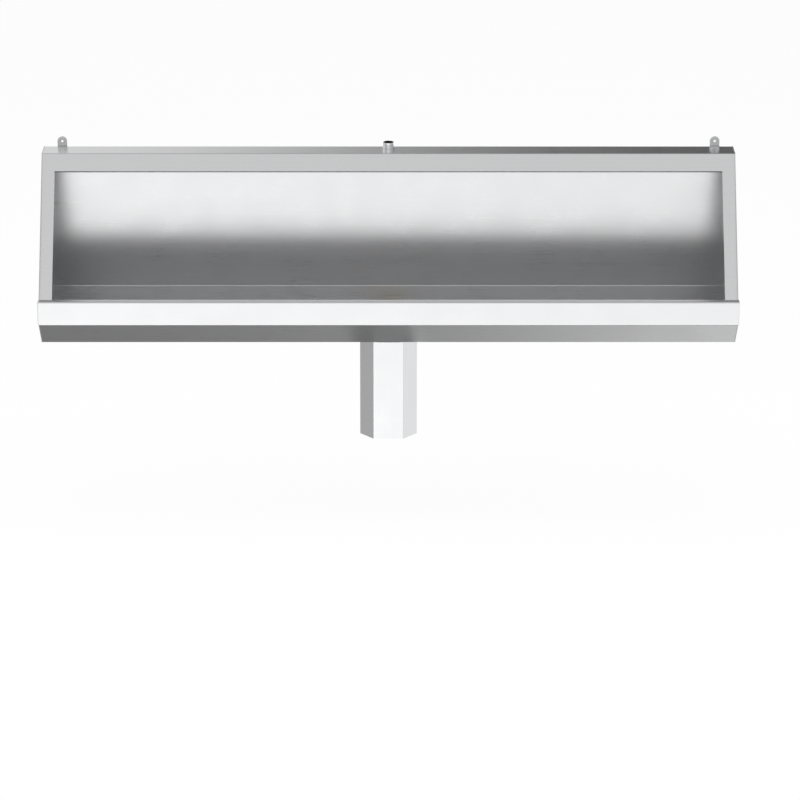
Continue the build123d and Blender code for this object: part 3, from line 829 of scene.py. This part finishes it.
class TROUGH_OT_cover(bpy.types.Operator):
    """Finish the trap cover, its hangers and the runners under the trough"""

    bl_idname = "trough.cover"
    bl_label = "Trap cover"

    def execute(self, context):
        steel = context.scene.trough_steel
        sheet = brushed_steel("satin_cover", steel.sheet_colour, steel.sheet_roughness, ALONG_Z, steel)
        strip = brushed_steel("mill_finish_runner", steel.bar_colour, steel.bar_roughness, ALONG_Y, steel)
        dress("trap_cover", sheet, steel.deburr)
        for part in ("hanger", "runner"):
            for word in ("left", "right"):
                dress(f"cover_{part}_{word}", strip, steel.deburr)
        return {"FINISHED"}


def add_sheet_card(name, corners, surface):
    """A flat stage piece through four corners."""
    mesh = bpy.data.meshes.new(name)
    mesh.from_pydata(corners, [], [(0, 1, 2, 3)])
    mesh.materials.append(surface)
    card = bpy.data.objects.new(name, mesh)
    bpy.context.scene.collection.objects.link(card)
    return card


def add_lamp(name, size, watts, spot, aim):
    """A soft area lamp turned towards a point. The steel doesn't mirror it."""
    lamp = bpy.data.lights.new(name, "AREA")
    lamp.shape = "RECTANGLE"
    lamp.size, lamp.size_y = size
    lamp.energy = watts
    holder = bpy.data.objects.new(name, lamp)
    holder.location = spot
    holder.rotation_euler = (aim - spot).to_track_quat("-Z", "Y").to_euler()
    holder.visible_camera = False
    holder.visible_glossy = False
    bpy.context.scene.collection.objects.link(holder)


class TROUGH_OT_stage(bpy.types.Operator):
    """Set up the floor, the soft light and the camera"""

    bl_idname = "trough.stage"
    bl_label = "Studio"

    def execute(self, context):
        stage = context.scene.trough_stage
        context.scene.view_settings.view_transform = "Standard"
        self.add_world(context.scene, stage)
        self.add_floor(stage)
        self.add_lamps(stage)
        self.add_camera(context.scene, stage)
        return {"FINISHED"}

    def add_world(self, scene, stage):
        """Soft light that changes with its direction. The camera sees plain white instead.

        A direction has length 1, so its up part is the sine of its height: 0.5 is 30 degrees above level.
        """
        world = bpy.data.worlds.new("soft_studio")
        world.use_nodes = True
        scene.world = world
        shader = Shader(world.node_tree)
        heading = shader.add("ShaderNodeTexCoord", output="Generated")
        right, back, up = shader.parts(heading)
        front = back * -1
        card_fade = right.eased(-0.3, 0.3).between(stage.card_fall / 2, -stage.card_fall / 2)
        off_card = ((right * right).eased(0.05, 0.2) + (up * -1).eased(0.42, 0.62)).clamped()
        front_low = off_card.between(card_fade + stage.front_card, stage.front_low)
        sides = ((right + 1) / 2).between(stage.side_left, stage.side_right)
        back_right = right.eased(0.0, 0.12) * back.eased(0.15, 0.34)
        under = back_right.between(stage.under, stage.under_back)
        low_back = (up * -1).eased(0.55, 0.85).between(sides, under)
        ahead_low = front.eased(0.42, 0.85)
        low = ahead_low.between(low_back, front_low)
        straight_behind = right.eased(-0.08, 0.05).between(stage.back_left, stage.back_right)
        behind = right.eased(0.25, 0.7).between(straight_behind, stage.side_level)
        over_camera = (1 - (right * right).eased(0.10, 0.28)) * up.eased(0.14, 0.30)
        level = over_camera.between(stage.front_level, stage.front_lamp)
        ahead = up.eased(0.3, 0.65).between(level, stage.front_high)
        high = front.eased(-0.1, 0.3).between(behind, ahead)
        topped = up.eased(0.76, 1.0).between(high, stage.overhead)
        dip_ahead = 0.235
        studio = (ahead_low * dip_ahead + up).eased(-0.06, 0.06).between(low, topped)
        seen = shader.add("ShaderNodeLightPath", output="Is Camera Ray")
        strength = seen.between(studio, 1.0)
        light = shader.add("ShaderNodeBackground", {}, {"Color": (1, 1, 1, 1), "Strength": strength})
        shader.finish(light, "ShaderNodeOutputWorld")

    def add_floor(self, stage):
        """A pale floor with a faint shadow. The steel doesn't mirror it, and from below it is clear."""
        material, shader = new_material("pale_floor")
        camera = shader.add("ShaderNodeLightPath", output="Is Camera Ray")
        through = shader.add("ShaderNodeLightPath", output="Is Transmission Ray")
        paint = shader.add("ShaderNodeBsdfDiffuse", {}, {"Color": solid(stage.floor_paint)})
        white = shader.add("ShaderNodeEmission", {}, {"Color": (1, 1, 1, 1), "Strength": 1.0})
        seen = (camera + through).clamped()
        above = shader.add("ShaderNodeMixShader", {}, {0: seen * stage.floor_white, 1: paint, 2: white})
        below = shader.add("ShaderNodeBsdfTransparent")
        from_below = shader.add("ShaderNodeNewGeometry", output="Backfacing")
        surface = shader.add("ShaderNodeMixShader", {}, {0: from_below, 1: above, 2: below})
        shader.finish(surface)
        half = stage.floor_reach
        level = -stage.floor_drop
        corners = [(-half, -half, level), (half, -half, level), (half, half, level), (-half, half, level)]
        add_sheet_card("floor", corners, material).visible_glossy = False

    def add_lamps(self, stage):
        """Two soft boxes beside the camera and a soft lamp overhead."""
        aim = Vector((0, -0.15, -0.35))
        for word, x in (("left", -3.2), ("right", 3.2)):
            add_lamp(f"soft_box_{word}", (1.6, 1.0), stage.box_power, Vector((x, -4.2, 1.3)), aim)
        add_lamp("top_lamp", (4.0, 3.0), stage.top_power, Vector((0, -0.8, 3.2)), aim)

    def add_camera(self, scene, stage):
        """The camera of the photographed view."""
        camera = bpy.data.cameras.new("view_camera")
        camera.sensor_width = 36.0
        camera.lens = stage.focal_length
        camera.shift_x = stage.frame_shift
        camera.clip_end = 100.0
        aim = Vector((0, -stage.aim_out, -stage.aim_drop))
        back = Vector((0, -cos(stage.camera_tilt), sin(stage.camera_tilt)))
        holder = bpy.data.objects.new("view_camera", camera)
        holder.location = aim + stage.camera_distance * back
        holder.rotation_euler = (pi / 2 - stage.camera_tilt, 0, 0)
        scene.collection.objects.link(holder)
        scene.camera = holder


class TROUGH_PT_sidebar(bpy.types.Panel):
    """The steps of dressing the trough, in order"""

    bl_label = "Trough urinal"
    bl_idname = "TROUGH_PT_sidebar"
    bl_space_type = "VIEW_3D"
    bl_region_type = "UI"
    bl_category = "Trough"

    def draw(self, context):
        for step in STEPS:
            self.layout.operator(step.bl_idname)


SETTINGS = {
    "trough_steel": TROUGH_PG_steel,
    "trough_fittings": TROUGH_PG_fittings,
    "trough_welds": TROUGH_PG_welds,
    "trough_stage": TROUGH_PG_stage,
}
STEPS = (
    TROUGH_OT_sheets,
    TROUGH_OT_straps,
    TROUGH_OT_flush_pipe,
    TROUGH_OT_waste,
    TROUGH_OT_trap,
    TROUGH_OT_cover,
    TROUGH_OT_welds,
    TROUGH_OT_stage,
)


def register():
    for group in SETTINGS.values():
        bpy.utils.register_class(group)
    for step in STEPS:
        bpy.utils.register_class(step)
    bpy.utils.register_class(TROUGH_PT_sidebar)
    for name, group in SETTINGS.items():
        setattr(bpy.types.Scene, name, PointerProperty(type=group))


def unregister():
    for name in SETTINGS:
        delattr(bpy.types.Scene, name)
    bpy.utils.unregister_class(TROUGH_PT_sidebar)
    for step in reversed(STEPS):
        bpy.utils.unregister_class(step)
    for group in reversed(SETTINGS.values()):
        bpy.utils.unregister_class(group)


def main():
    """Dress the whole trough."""
    register()
    bpy.ops.trough.sheets()
    bpy.ops.trough.straps()
    bpy.ops.trough.flush_pipe()
    bpy.ops.trough.waste()
    bpy.ops.trough.trap()
    bpy.ops.trough.cover()
    bpy.ops.trough.welds()
    bpy.ops.trough.stage()


if __name__ == "__main__":
    main()
